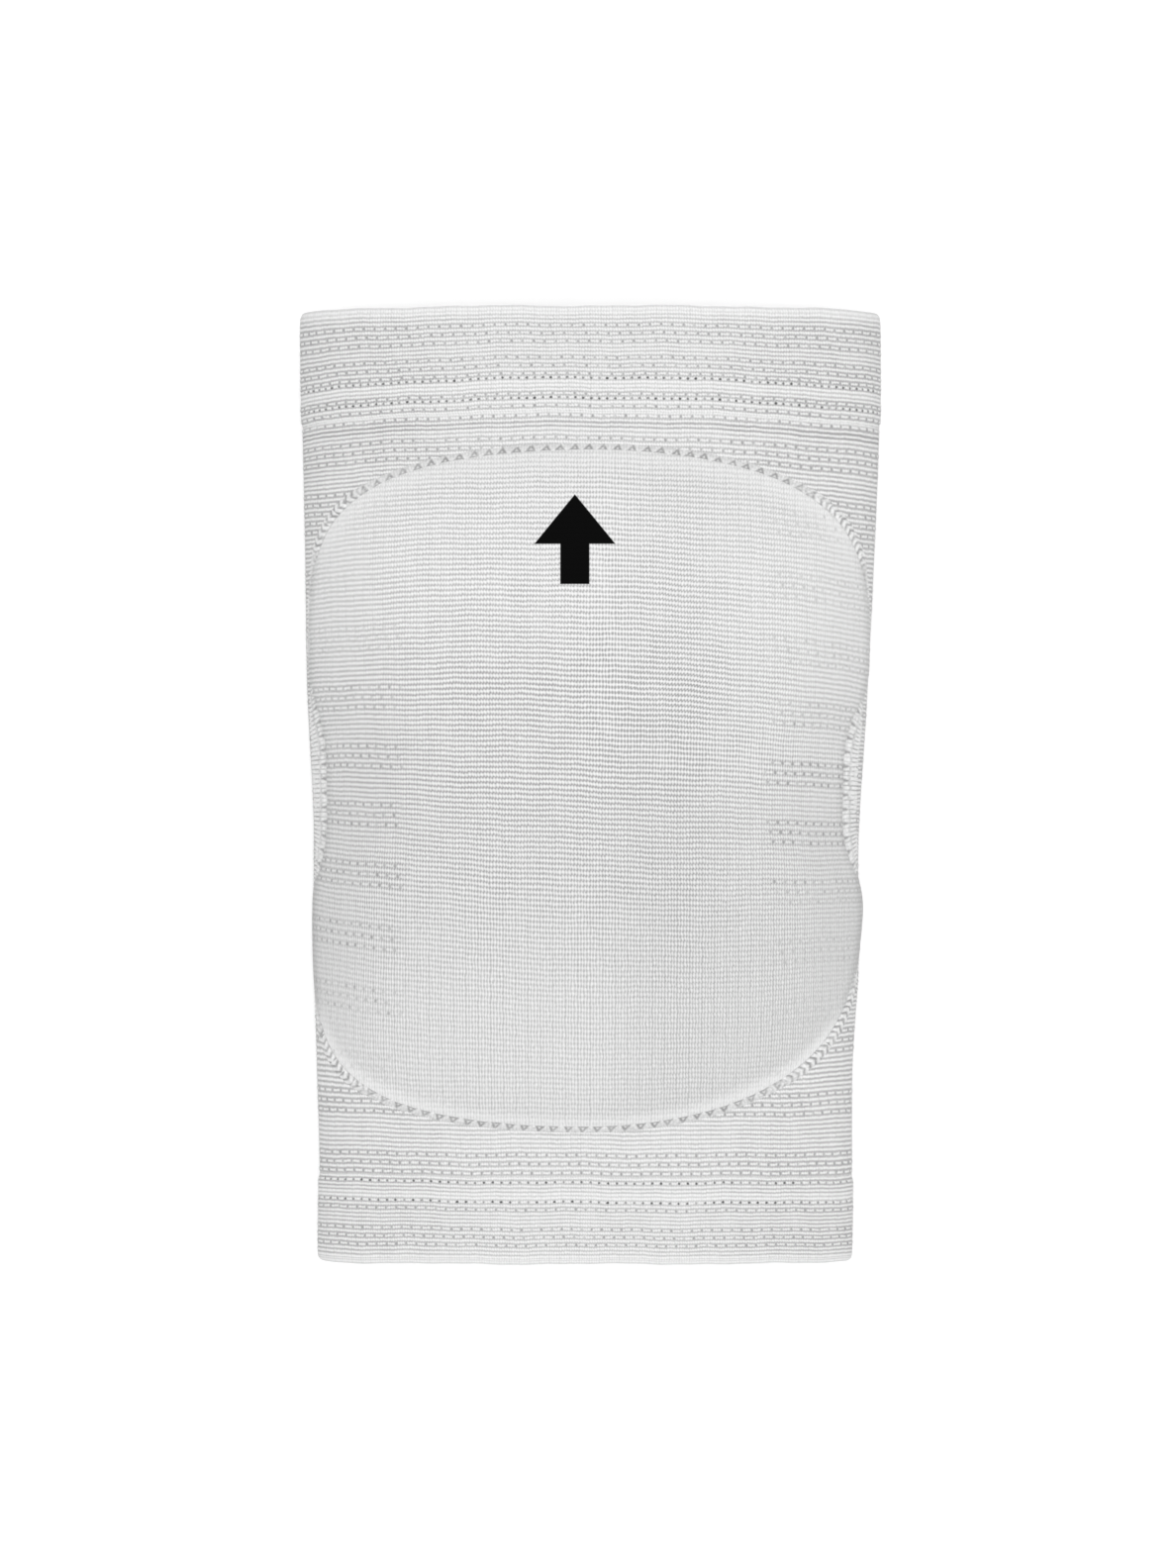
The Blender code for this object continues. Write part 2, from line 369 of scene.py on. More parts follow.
YARN_LIGHT = (0.66, 0.66, 0.66, 1.0)
YARN_SHADE = (0.29, 0.29, 0.29, 1.0)
HOLE_SHADE = (0.10, 0.10, 0.10, 1.0)
YARN_ROUGHNESS = 0.9
YARN_GLOSS = 0.06
YARN_BUMP = 0.7
KNIT_BUMP_DEPTH = 0.00025

# How far the yarn strays, in wales and courses, and how coarse the straying is
STRAY_SCALE = 0.45
WALE_STRAY = 0.7
COURSE_STRAY = 0.30

# Painted shade in the gaps at a course's foot: how far a stitch leans over, where the gap beside a
# stitch and the one under it start and are full, and how unevenly tight the courses are
STITCH_LEAN = 0.4
GAP_BESIDE = (0.05, 0.45)
GAP_UNDER = (0.11, 0.52)
UNDER_WIDENED = 0.10
SLACK_SCALE = 0.16
SLACK = (0.4, 0.8)
TUCK_DEEPER = 0.22

# Upright lines of painted shade between the wales, stronger where the cloth is sheer and where
# elastic is laid in
RIB_SHADE = (1.35, 0.16)
LAID_IN = (0.38, 0.5)
LAID_IN_SHADE = 0.10

# Painted shade in the gaps between the floats of a tuck row: how unevenly they open, how many
# wales each course moves them on, and how dark their painted shade gets
OPEN_SCALE = 0.23
OPENED = (1.6, 0.2)
FLOAT_STEP = 0.5
GAP_DARKEST = 0.95

# Hairs and mottling of the yarn, and the holes with painted shade inside them, in wales and courses
MOTTLE_SCALE = 1.6
MOTTLE = 0.45
HAIR_SCALE = 5.0
HAIR = 0.3
HOLE_WIDTH = 1.6
HOLE_MIDDLE = 0.45
HOLE_EDGE = (0.46, 0.14)
HOLE_DARK = 0.8


def yarn_shader(tree, colour, surface, depth):
    """Sets a matt, faintly hairy yarn on a material's shader, with its relief as a bump."""
    shader = tree.nodes["Principled BSDF"]
    tree.links.new(colour, shader.inputs["Base Color"])
    bump = wire(tree, "ShaderNodeBump")
    bump.inputs["Strength"].default_value = YARN_BUMP
    bump.inputs["Distance"].default_value = depth
    tree.links.new(surface, bump.inputs["Height"])
    tree.links.new(bump.outputs["Normal"], shader.inputs["Normal"])
    shader.inputs["Roughness"].default_value = YARN_ROUGHNESS
    shader.inputs["Specular IOR Level"].default_value = YARN_GLOSS


def noise(tree, place, scale, detail, dimensions="2D"):
    node = wire(tree, "ShaderNodeTexNoise", (place,), noise_dimensions=dimensions)
    node.inputs["Scale"].default_value = scale
    node.inputs["Detail"].default_value = detail
    return node.outputs["Fac"]


def fract_gap(tree, value):
    """0 halfway between whole numbers and 0.5 at them."""
    return calc(tree, "ABSOLUTE", calc(tree, "SUBTRACT", calc(tree, "FRACT", value), 0.5))


def blend(tree, share, base, over):
    """base where share is 0 and over where it is 1."""
    node = wire(tree, "ShaderNodeMix", data_type="RGBA")
    for socket_name, value in (("Factor", share), ("A", base), ("B", over)):
        if isinstance(value, bpy.types.NodeSocket):
            tree.links.new(value, node.inputs[socket_name])
        else:
            node.inputs[socket_name].default_value = value
    return node.outputs["Result"]


def course_gaps(tree, wale, course, traits, toothed):
    """Painted shade along the foot of each course, darker between the stitches than under them, and
    faint between the wales. toothed is how far the feet are broken up."""
    lean = calc(tree, "MULTIPLY", traits["slant"], STITCH_LEAN)
    leaned = calc(tree, "MULTIPLY_ADD", lean, calc(tree, "FRACT", course), wale)
    notch = ramp(tree, fract_gap(tree, leaned), *GAP_BESIDE)
    near_foot = calc(tree, "MULTIPLY_ADD", notch, UNDER_WIDENED, fract_gap(tree, course))
    broken = calc(tree, "MAXIMUM", 1 - toothed, traits["tuck"])
    weight = calc(tree, "MULTIPLY_ADD", notch, calc(tree, "SUBTRACT", 1.0, broken), broken)
    foot = calc(tree, "MULTIPLY", ramp(tree, near_foot, *GAP_UNDER), weight)
    return notch, foot


def knit_finish(name, holes_round=None, toothed=0.30, gap=(0.31, 0.45), ink=None):
    """White yarn in knitted courses, with painted shade in slanted gaps at the feet of the courses, in
    upright gaps between the floats of tuck rows, and in holes. toothed is how far the feet are broken
    up, gap where the gap between two floats starts and is full, and ink can add a printed mark."""
    material = bpy.data.materials.new(name)
    material.use_nodes = True
    tree = material.node_tree
    traits = {
        trait: wire(tree, "ShaderNodeAttribute", attribute_name=trait).outputs["Fac"]
        for trait in KNIT_TRAITS
    }
    knit = wire(tree, "ShaderNodeUVMap", uv_map="knit").outputs["UV"]
    parts = wire(tree, "ShaderNodeSeparateXYZ", (knit,))
    uneven = calc(tree, "SUBTRACT", noise(tree, knit, STRAY_SCALE, 3.0), 0.5)
    wale = calc(tree, "MULTIPLY_ADD", uneven, WALE_STRAY, parts.outputs["X"])
    course = calc(tree, "MULTIPLY_ADD", uneven, COURSE_STRAY, parts.outputs["Y"])

    notch, foot = course_gaps(tree, wale, course, traits, toothed)
    slack = calc(tree, "MULTIPLY_ADD", noise(tree, knit, SLACK_SCALE, 2.0), *SLACK)
    deepened = calc(tree, "MULTIPLY_ADD", traits["tuck"], TUCK_DEEPER, traits["relief"])
    stitched = calc(tree, "MULTIPLY", foot, calc(tree, "MULTIPLY", deepened, slack))

    # Upright lines of painted shade on the wales, stronger where the elastic is laid in at every fourth
    laid_in = ramp(tree, fract_gap(tree, calc(tree, "DIVIDE", wale, WALES_A_FLOAT)), *LAID_IN)
    ribbed = calc(tree, "MULTIPLY_ADD", traits["sheer_shade"], *RIB_SHADE)
    upright = calc(tree, "MULTIPLY_ADD", laid_in, LAID_IN_SHADE, calc(tree, "MULTIPLY", notch, ribbed))
    beside_feet = calc(tree, "MULTIPLY", upright, calc(tree, "SUBTRACT", 1.0, stitched))
    plain = calc(tree, "ADD", stitched, beside_feet)

    # Painted shade in the gaps between the floats of a tuck row, each row moved on, some pulled
    # wider than others
    opened = calc(tree, "MULTIPLY_ADD", noise(tree, knit, OPEN_SCALE, 1.0), *OPENED)
    stepped = calc(tree, "MULTIPLY_ADD", calc(tree, "FLOOR", parts.outputs["Y"]), FLOAT_STEP, wale)
    between = ramp(tree, fract_gap(tree, calc(tree, "DIVIDE", stepped, WALES_A_FLOAT)), *gap)
    tucked = calc(tree, "MULTIPLY", calc(tree, "MULTIPLY", between, traits["tuck"]), opened)
    deep = calc(tree, "MAXIMUM", plain, calc(tree, "MINIMUM", tucked, GAP_DARKEST))

    # All the painted shade: in the gaps, and laid evenly where the cloth is sheer
    painted_shade = calc(tree, "ADD", deep, traits["sheer_shade"])
    fleck = calc(tree, "SUBTRACT", noise(tree, knit, MOTTLE_SCALE, 4.0), 0.5)
    colour = blend(tree, calc(tree, "MULTIPLY_ADD", fleck, MOTTLE, painted_shade), YARN_LIGHT, YARN_SHADE)
    hairs = noise(tree, knit, HAIR_SCALE, 4.0)
    surface = calc(tree, "MULTIPLY_ADD", hairs, HAIR, calc(tree, "SUBTRACT", 1.0, deep))
    if holes_round:
        # Painted shade inside the holes, darker than in the gaps
        wales_a_hole = WALES_ROUND / holes_round
        beside = calc(tree, "SUBTRACT", 0.5, fract_gap(tree, calc(tree, "DIVIDE", wale, wales_a_hole)))
        across = calc(tree, "MULTIPLY", beside, wales_a_hole / HOLE_WIDTH)
        upward = calc(tree, "SUBTRACT", calc(tree, "FRACT", course), HOLE_MIDDLE)
        far = wire(tree, "ShaderNodeCombineXYZ", (across, upward)).outputs[0]
        away = wire(tree, "ShaderNodeVectorMath", (far,), operation="LENGTH").outputs["Value"]
        pierced = calc(tree, "MULTIPLY", ramp(tree, away, *HOLE_EDGE), traits["holes"])
        pierced = calc(tree, "MULTIPLY", pierced, opened)
        colour = blend(tree, calc(tree, "MULTIPLY", pierced, HOLE_DARK), colour, HOLE_SHADE)
        surface = calc(tree, "SUBTRACT", surface, pierced)
    if ink:
        colour, surface = ink(tree, colour, surface)
    yarn_shader(tree, colour, surface, KNIT_BUMP_DEPTH)
    return material


# The tube's courses from calf to thigh, and the ends of the tube under the welts. Its flat size is
# that of the tube slit along its back
SLEEVE_REPEAT = "TpTpTpppppppp"
SLEEVE_THIGH_END = "TpTpTppppppTpTpTppddT"
SLEEVE_COURSES = 168
SLEEVE_COLUMNS = 138
SLEEVE_INSIDE_ROWS = 26
TUCKED_UNDER_WELT = 0.0015
LEVEL_UNDER_WELT = 0.0006
CUFF_STEP = 0.0004

sleeve_knit = knit_finish("sleeve_knit")
sleeve_low, sleeve_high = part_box("knit_sleeve")
repeated = SLEEVE_COURSES - len(SLEEVE_THIGH_END)
repeats = math.ceil(repeated / len(SLEEVE_REPEAT))
sleeve_chart = (SLEEVE_REPEAT * repeats)[:repeated] + SLEEVE_THIGH_END
sleeve_start, sleeve_end = sleeve_low[1] - TUCKED_UNDER_WELT, sleeve_high[1] + TUCKED_UNDER_WELT
inside = [(y, -SLEEVE_WALL) for y in np.linspace(sleeve_end, sleeve_start, SLEEVE_INSIDE_ROWS)]
sleeve_rows = plain_rows([(sleeve_start, -CUFF_STEP), (sleeve_low[1] - LEVEL_UNDER_WELT, 0.0)], -1)
sleeve_rows += course_rows(sleeve_chart, sleeve_low[1], sleeve_high[1])
thigh_edge = [(sleeve_high[1], 0.0), (sleeve_high[1] + LEVEL_UNDER_WELT, 0.0), (sleeve_end, -CUFF_STEP)]
sleeve_rows += plain_rows(thigh_edge + inside, SLEEVE_COURSES)
sleeve = knit_piece(knit_tube("knitted_sleeve", sleeve_rows, SLEEVE_COLUMNS, 0.0), sleeve_knit)
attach(sleeve, "root")
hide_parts("knit_sleeve")


# Thigh and calf welts
# Each end of the tube is knitted double and turned in, so it grips without an elastic. Two rows of
# transferred stitches leave holes round it, with a smooth band between them.
WELT_WALL = 0.0028
THIGH_HOLES_ROUND = 157
CALF_HOLES_ROUND = 129
COLUMNS_A_HOLE = 4
HOLE_DEPTH = 0.00045
NOSE_STEPS = 6
WELT_INSIDE_ROWS = 9

# How deep a welt sinks into the tube at its hem, and over what length
HEM_EASE = 0.00050
HEM_REACH = 0.0022

# Courses from the free edge to the hem
THIGH_CHART = "sppTpTpTpppTpTpTHsspTHsTp"
CALF_CHART = "sppTpTpTppppTpHssppHp"


def turned_welt(name, chart, free_end, hem, holes_round, replaced):
    """A double wall from its free edge, where it is folded over, to its hem on the tube."""
    outward = math.copysign(1.0, free_end - hem)
    radius = WELT_WALL / 2
    fold = free_end - outward * radius
    turn = np.linspace(0, np.pi, NOSE_STEPS + 2)[1:-1]
    nose = [(fold + outward * radius * math.sin(a), radius * (math.cos(a) - 1)) for a in turn]
    inner = [(y, -WELT_WALL) for y in np.linspace(fold, hem, WELT_INSIDE_ROWS)]
    if outward > 0:
        outer = course_rows(chart[::-1], hem, fold)
        rows = outer + plain_rows([(fold, 0.0)] + nose + inner, len(chart))
    else:
        outer = course_rows(chart, fold, hem)
        rows = outer + plain_rows([(hem, 0.0)] + inner[::-1] + nose[::-1], len(chart))
    for item in rows:
        if item["lift"] > -radius:
            item["lift"] -= HEM_EASE * (1 - smooth_step(abs(item["y"] - hem), 0.0, HEM_REACH))
    columns = holes_round * COLUMNS_A_HOLE
    mesh = knit_tube(name, rows, columns, CUFF_STEP, holes_round, HOLE_DEPTH)
    piece = knit_piece(mesh, knit_finish(f"{name}_knit", holes_round))
    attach(piece, "root")
    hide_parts(replaced)
    return piece


thigh_low, thigh_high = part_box("thigh_cuff")
calf_low, calf_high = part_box("calf_cuff")
turned_welt("thigh_welt", THIGH_CHART, thigh_high[1], thigh_low[1], THIGH_HOLES_ROUND, "thigh_cuff")
turned_welt("calf_welt", CALF_CHART, calf_low[1], calf_high[1], CALF_HOLES_ROUND, "calf_cuff")


# Foam pad
# A moulded pad of off-white cushioning foam, domed and thinned to its edge. It lies loose in the
# pouch between the sleeve and the panel, and so doesn't show.
PAD_LENGTH = 0.1701
PAD_HALF_WIDTH = 0.0706
PAD_TOWARDS_CALF = 0.00070
FOAM_THICKNESS = 0.0165
PANEL_WALL = 0.0015
PANEL_RIM = 0.0008
SEAT_GAP = 0.0003
RIM_TURN = 0.001
DOME_POWER = 4.2
FOAM_SPOKES = 96
FOAM_LEVELS = 40
FOAM_SHADE = (0.72, 0.70, 0.62, 1.0)
FOAM_LIGHT = (0.84, 0.83, 0.78, 1.0)
MOTTLE_A_METRE = 60.0
PORES_A_METRE = 1400.0
PORE_DEPTH = 0.0003
PORE_STRENGTH = 0.5
FOAM_ROUGHNESS = 0.95

# How far each side is drawn in beside the knee, over what share of half of PAD_LENGTH, and how
# squarely the drawn in part ends
LEFT_WAIST = 0.0040
RIGHT_WAIST = 0.0060
WAIST_SPAN = 0.25
WAIST_SQUARENESS = 4

# Corners of the pad: width as a share of PAD_HALF_WIDTH, and how full they are along and across
CORNERS = {
    ("left", "thigh"): (1.018, 7.2, 2.1),
    ("right", "thigh"): (1.022, 6.3, 1.95),
    ("left", "calf"): (0.988, 8.0, 2.2),
    ("right", "calf"): (0.964, 5.0, 1.85),
}


def pad_edge(y, side):
    """How far the pad's outline lies from the middle line at places along the leg."""
    share = np.clip((y + PAD_TOWARDS_CALF) / (PAD_LENGTH / 2), -1, 1)
    thigh, calf = CORNERS[side, "thigh"], CORNERS[side, "calf"]
    width = thigh[0] * (share + 1) / 2 + calf[0] * (1 - share) / 2
    along_power = np.where(share > 0, thigh[1], calf[1])
    across_power = np.where(share > 0, thigh[2], calf[2])
    full = (1 - np.abs(share) ** along_power) ** (1 / across_power)
    waist = LEFT_WAIST if side == "left" else RIGHT_WAIST
    return width * PAD_HALF_WIDTH * full - waist * np.exp(-((share / WAIST_SPAN) ** WAIST_SQUARENESS))


def pad_outline(steps=2000):
    """(x, y) once round the pad, anticlockwise as seen from above, from its calf end."""
    places = np.sin(np.linspace(-np.pi / 2, np.pi / 2, steps)) * PAD_LENGTH / 2 - PAD_TOWARDS_CALF
    up = np.stack([pad_edge(places, "right"), places], axis=1)
    down = np.stack([-pad_edge(places, "left"), places], axis=1)[::-1]
    return np.concatenate([up, down[1:-1]])


OUTLINE = pad_outline()
outline_from_middle = OUTLINE + (0, PAD_TOWARDS_CALF)
outline_angle = np.arctan2(outline_from_middle[:, 1], outline_from_middle[:, 0])
outline_order = np.argsort(outline_angle)
OUTLINE_ANGLE = outline_angle[outline_order]
OUTLINE_RADIUS = np.linalg.norm(outline_from_middle, axis=1)[outline_order]


def pad_reach(x, y):
    """A point's way from the pad's middle to its outline as a share, and that way's length."""
    angle = np.arctan2(y + PAD_TOWARDS_CALF, x)
    radius = np.interp(angle, OUTLINE_ANGLE, OUTLINE_RADIUS, period=2 * np.pi)
    return np.clip(np.hypot(x, y + PAD_TOWARDS_CALF) / radius, 0, 1), radius


def seat_height(x, y):
    """Height of the seat that the pad lies on, just clear of the sleeve's front."""
    left, right, crown, power = section(y)
    half = np.where(x < 0, left, right) + SEAT_GAP
    share = np.clip(np.abs(x) / half, 0, 1)
    return FOLD_HEIGHT + (crown + SEAT_GAP - FOLD_HEIGHT) * np.sqrt(1 - share**power)


def dome(reach):
    return np.clip(1 - reach**DOME_POWER, 0, 1)


def foam_finish():
    """Off-white foam with fine open pores."""
    material = bpy.data.materials.new("cushion_foam")
    material.use_nodes = True
    tree = material.node_tree
    shader = tree.nodes["Principled BSDF"]
    place = wire(tree, "ShaderNodeTexCoord").outputs["Object"]
    pores = wire(tree, "ShaderNodeTexVoronoi", (place,))
    pores.inputs["Scale"].default_value = PORES_A_METRE
    mottle = wire(tree, "ShaderNodeTexNoise", (place,))
    mottle.inputs["Scale"].default_value = MOTTLE_A_METRE
    colour = blend(tree, mottle.outputs["Fac"], FOAM_SHADE, FOAM_LIGHT)
    tree.links.new(colour, shader.inputs["Base Color"])
    bump = wire(tree, "ShaderNodeBump")
    bump.inputs["Strength"].default_value = PORE_STRENGTH
    bump.inputs["Distance"].default_value = PORE_DEPTH
    tree.links.new(pores.outputs["Distance"], bump.inputs["Height"])
    tree.links.new(bump.outputs["Normal"], shader.inputs["Normal"])
    shader.inputs["Roughness"].default_value = FOAM_ROUGHNESS
    return material


bm = bmesh.new()
bmesh.ops.create_uvsphere(bm, u_segments=FOAM_SPOKES, v_segments=FOAM_LEVELS, radius=1.0)
foam_edge = 1 - (PANEL_WALL + SEAT_GAP) / PAD_HALF_WIDTH
for vert in bm.verts:
    around = math.atan2(vert.co.y, vert.co.x)
    out = math.hypot(vert.co.x, vert.co.y) * foam_edge
    radius = float(np.interp(around, OUTLINE_ANGLE, OUTLINE_RADIUS, period=2 * np.pi))
    x, y = out * radius * math.cos(around), out * radius * math.sin(around) - PAD_TOWARDS_CALF
    swell = FOAM_THICKNESS * float(dome(np.array(out / foam_edge))) if vert.co.z > 0 else 0.0
    vert.co = (x, y, float(seat_height(np.array(x), np.array(y))) + swell)
foam_mesh = bpy.data.meshes.new("foam_cushion")
bm.to_mesh(foam_mesh)
bm.free()
foam = knit_piece(foam_mesh, foam_finish())
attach(foam, "root")
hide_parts("foam_pad")


# Pad panel
# The front panel, knitted in one with the tube in a finer white yarn and stretched over the foam.
# Its courses arch up near the thigh and down near the calf, and it is pulled smooth near its seam.
PANEL_COURSES = 131
PANEL_COLUMNS = 168
PANEL_UNDERSIDE = 9
PANEL_WALE = 0.00077
PANEL_RELIEF = 0.00020
PANEL_REPEAT = "TpTpTppppppp"
FIRST_TUCK_COURSE = 20

# How far the columns are crowded towards the panel's edges. The search for those edges starts at
# BEYOND_EDGES times PAD_HALF_WIDTH, and halves its bounds HALVINGS times
CLOSER_TO_EDGES = 0.45
BEYOND_EDGES = 1.1
HALVINGS = 40

# The relief is deepest over the middle of the knee, and flatter where the panel is pulled tight,
# and the painted shade in its gaps with it: its share at places along the leg, and at places across
RELIEF_ALONG = (
    (-0.075, -0.055, -0.043, -0.031, -0.018, 0.0, 0.025, 0.040, 0.055, 0.080),
    (0.34, 0.38, 0.52, 0.74, 0.92, 1.08, 1.12, 0.92, 0.82, 0.62),
)
RELIEF_ACROSS = (
    (-0.064, -0.050, -0.030, 0.010, 0.025, 0.040, 0.065),
    (0.72, 0.90, 1.0, 1.0, 0.92, 0.72, 0.55),
)

# Near the seam at the pad's ends the panel is pulled smooth: where the ends start, how far in from
# the seam the gaps and their painted shade are weaker, at places along the leg, and how much is left
# there
SMOOTH_ENDS = (0.050, 0.065)
SMOOTH_RIM = ((-0.085, -0.074, -0.063, 0.050, 0.085), (0.0040, 0.0055, 0.0040, 0.0070, 0.0080))
SMOOTH_FROM = 0.0010
RIM_GAPS = 0.5
RELIEF_STARTS = 0.0015
UNDERSIDE_TURN = 0.003

# Even painted shade where the threads are spread so evenly that the shade between them shows as one
# tone: along the leg, across it, and beside the seam at the pad's sides
SHEER_SHADE_ALONG = (
    (-0.080, -0.060, -0.043, -0.031, -0.018, 0.0, 0.020),
    (0.10, 0.15, 0.15, 0.12, 0.08, 0.03, 0.0),
)
SHEER_SHADE_ACROSS = ((0.0, 0.020, 0.045, 0.065), (0.0, 0.05, 0.05, 0.03))
RIM_SHADE = 0.15
RIM_SHADE_WIDTH = 0.0030

# The tuck rows start beside the knee. How plain they are there, at places along the leg
TUCK_MIDDLE = -0.0015
TUCK_STARTS = (0.0425, 0.0470)
TUCK_LEFT = (
    (-0.075, -0.045, -0.030, 0.012, 0.025, 0.050),
    (0.25, 0.7, 0.85, 0.85, 0.6, 0.2),
)
TUCK_RIGHT = (
    (-0.075, -0.030, -0.022, -0.012, 0.008, 0.018, 0.050),
    (0.3, 0.5, 0.7, 1.0, 1.0, 0.55, 0.4),
)

# The stitches lean left, but right at the upper right, and stand nearly upright towards the calf
LEAN_TURNS_ACROSS = (-0.01, 0.02)
LEAN_TURNS_ALONG = (-0.005, 0.02)
UPRIGHT_TO_CALF = (0.005, 0.040)
UPRIGHT_LEFT = 0.9
UPRIGHT_RIGHT = 0.5
RIGHT_FROM = (0.0, 0.03)

# A plain arrow that says which end goes up, screen printed in black
ARROW_CENTRE = (-0.0038, 0.0610)
ARROW_HEIGHT = 0.0225
ARROW_WIDTH = 0.0200
ARROW_HEAD = 0.0125
ARROW_STEM = 0.0072
INK = (0.001, 0.001, 0.001, 1.0)
INK_EDGE = 0.00012
INK_FILLS = 0.75
INK_STANDS = 0.9


def arrow_print(tree, colour, surface):
    """Black ink that fills the knit where the arrow's head or its stem is."""
    place = wire(tree, "ShaderNodeSeparateXYZ", (wire(tree, "ShaderNodeTexCoord").outputs["Object"],))
    aside = calc(tree, "ABSOLUTE", calc(tree, "SUBTRACT", place.outputs["X"], ARROW_CENTRE[0]))
    tip = calc(tree, "SUBTRACT", ARROW_CENTRE[1] + ARROW_HEIGHT / 2, place.outputs["Y"])
    slope = ARROW_WIDTH / 2 / ARROW_HEAD
    head_edge = calc(tree, "SUBTRACT", calc(tree, "MULTIPLY", tip, slope), aside)
    head = calc(tree, "MINIMUM", head_edge, calc(tree, "SUBTRACT", ARROW_HEAD, tip))
    stem = calc(tree, "SUBTRACT", ARROW_STEM / 2, aside)
    stem = calc(tree, "MINIMUM", stem, calc(tree, "SUBTRACT", ARROW_HEIGHT, tip))
    stem = calc(tree, "MINIMUM", stem, calc(tree, "SUBTRACT", tip, ARROW_HEAD / 2))
    inked = ramp(tree, calc(tree, "MAXIMUM", head, stem), -INK_EDGE, INK_EDGE)
    bare = calc(tree, "MULTIPLY_ADD", inked, -INK_FILLS, 1.0)
    filled = calc(tree, "MULTIPLY", surface, bare)
    return blend(tree, inked, colour, INK), calc(tree, "MULTIPLY_ADD", inked, INK_STANDS, filled)


def row_edge(y, side):
    """Where the course whose middle is at y meets the pad's outline on one side, by halving."""
    sign = -1 if side == "left" else 1
    low, high = np.zeros_like(y), np.full_like(y, PAD_HALF_WIDTH * BEYOND_EDGES)
    for _ in range(HALVINGS):
        middle = (low + high) / 2
        place = y - course_drop(y, sign * middle, np.full_like(y, FOLD_HEIGHT))
        beyond = np.abs(place + PAD_TOWARDS_CALF) > PAD_LENGTH / 2
        outside = beyond | (middle > pad_edge(place, side))
        low, high = np.where(outside, low, middle), np.where(outside, middle, high)
    return low


def panel_top(x, y):
    """Height of the panel's outside where it is stretched over the foam."""
    reach, radius = pad_reach(x, y)
    rise = FOAM_THICKNESS + SEAT_GAP + PANEL_WALL - PANEL_RIM
    rim = PANEL_RIM * smooth_step((1 - reach) * radius, -RIM_TURN, RIM_TURN)
    return seat_height(x, y) + rim + rise * dome(reach)


panel_knit = knit_finish("panel_knit", toothed=0.5, gap=(0.28, 0.45), ink=arrow_print)
panel_rows = PANEL_COURSES * ROWS_A_COURSE
panel_columns = PANEL_COLUMNS + PANEL_UNDERSIDE
mesh, column, row = grid_mesh("pad_panel", panel_columns, panel_rows)

# Each course from its left end to its right end, and back under itself
middle_y = np.linspace(-PAD_LENGTH / 2, PAD_LENGTH / 2, panel_rows + 1) - PAD_TOWARDS_CALF
left_end, right_end = -row_edge(middle_y, "left"), row_edge(middle_y, "right")
even = np.linspace(0, 1, PANEL_COLUMNS + 1)
eased = 0.5 - 0.5 * np.cos(np.pi * even)
there = (1 - CLOSER_TO_EDGES) * even + CLOSER_TO_EDGES * eased
share = np.concatenate([there, np.linspace(1, 0, PANEL_UNDERSIDE + 1)[1:]])
is_top = np.arange(panel_columns + 1) <= PANEL_COLUMNS
x = left_end[:, None] + share[None, :] * (right_end - left_end)[:, None]
y = middle_y[:, None] - course_drop(middle_y[:, None] + 0 * x, x, np.full_like(x, FOLD_HEIGHT))
reach, radius = pad_reach(x, y)
from_rim = (1 - reach) * radius
points = np.stack([x, y, panel_top(x, y)], axis=2)

# The courses stand proud along the panel's normals
course = np.arange(panel_rows + 1) / ROWS_A_COURSE
crest = np.sin(np.pi * (course % 1)).clip(0) ** CREST_FULLNESS
at_ends = smooth_step(np.abs(y), *SMOOTH_ENDS)
rim_width = np.interp(y, *SMOOTH_RIM)
stretched = 1 - at_ends * (1 - smooth_step(from_rim, SMOOTH_FROM, rim_width))
relief = RIM_GAPS + (1 - RIM_GAPS) * stretched
relief *= np.interp(y, *RELIEF_ALONG) * np.interp(x, *RELIEF_ACROSS)
ahead = np.gradient(points, axis=0)
aside = np.gradient(points, axis=1)
normal = np.cross(aside, ahead)
normal /= np.linalg.norm(normal, axis=2, keepdims=True) + 1e-12
lifted = PANEL_RELIEF * crest[:, None] * relief * smooth_step(from_rim, 0.0, RELIEF_STARTS)
points += np.where(is_top, lifted, 0.0)[:, :, None] * normal
points[:, ~is_top, 2] -= (PANEL_WALL * smooth_step(from_rim, 0.0, UNDERSIDE_TURN))[:, ~is_top]
points[0], points[-1] = points[0, :1], points[-1, :1]

# What the finish reads
chart_place = (course - FIRST_TUCK_COURSE) % len(PANEL_REPEAT)
tuck_row = np.array([PANEL_REPEAT[int(place)] == "T" for place in chart_place])
tuck_row &= (course % 1) > 0
beside = smooth_step(np.abs(x - TUCK_MIDDLE), *TUCK_STARTS)
tuck_shows = np.where(x < 0, np.interp(y, *TUCK_LEFT), np.interp(y, *TUCK_RIGHT))
tuck = tuck_row[:, None] * beside * tuck_shows
upper_right = smooth_step(x, *LEAN_TURNS_ACROSS) * smooth_step(y, *LEAN_TURNS_ALONG)
upright = UPRIGHT_LEFT + (UPRIGHT_RIGHT - UPRIGHT_LEFT) * smooth_step(x, *RIGHT_FROM)
slant = (1 - 2 * upper_right) * (1 - smooth_step(-y, *UPRIGHT_TO_CALF) * upright)
# Even painted shade on sheer cloth, and along the rim at the pad's sides
sheer_shade = stretched * (np.interp(y, *SHEER_SHADE_ALONG) + np.interp(x, *SHEER_SHADE_ACROSS))
sheer_shade += RIM_SHADE * (1 - at_ends) * (1 - smooth_step(from_rim, 0.0, RIM_SHADE_WIDTH))

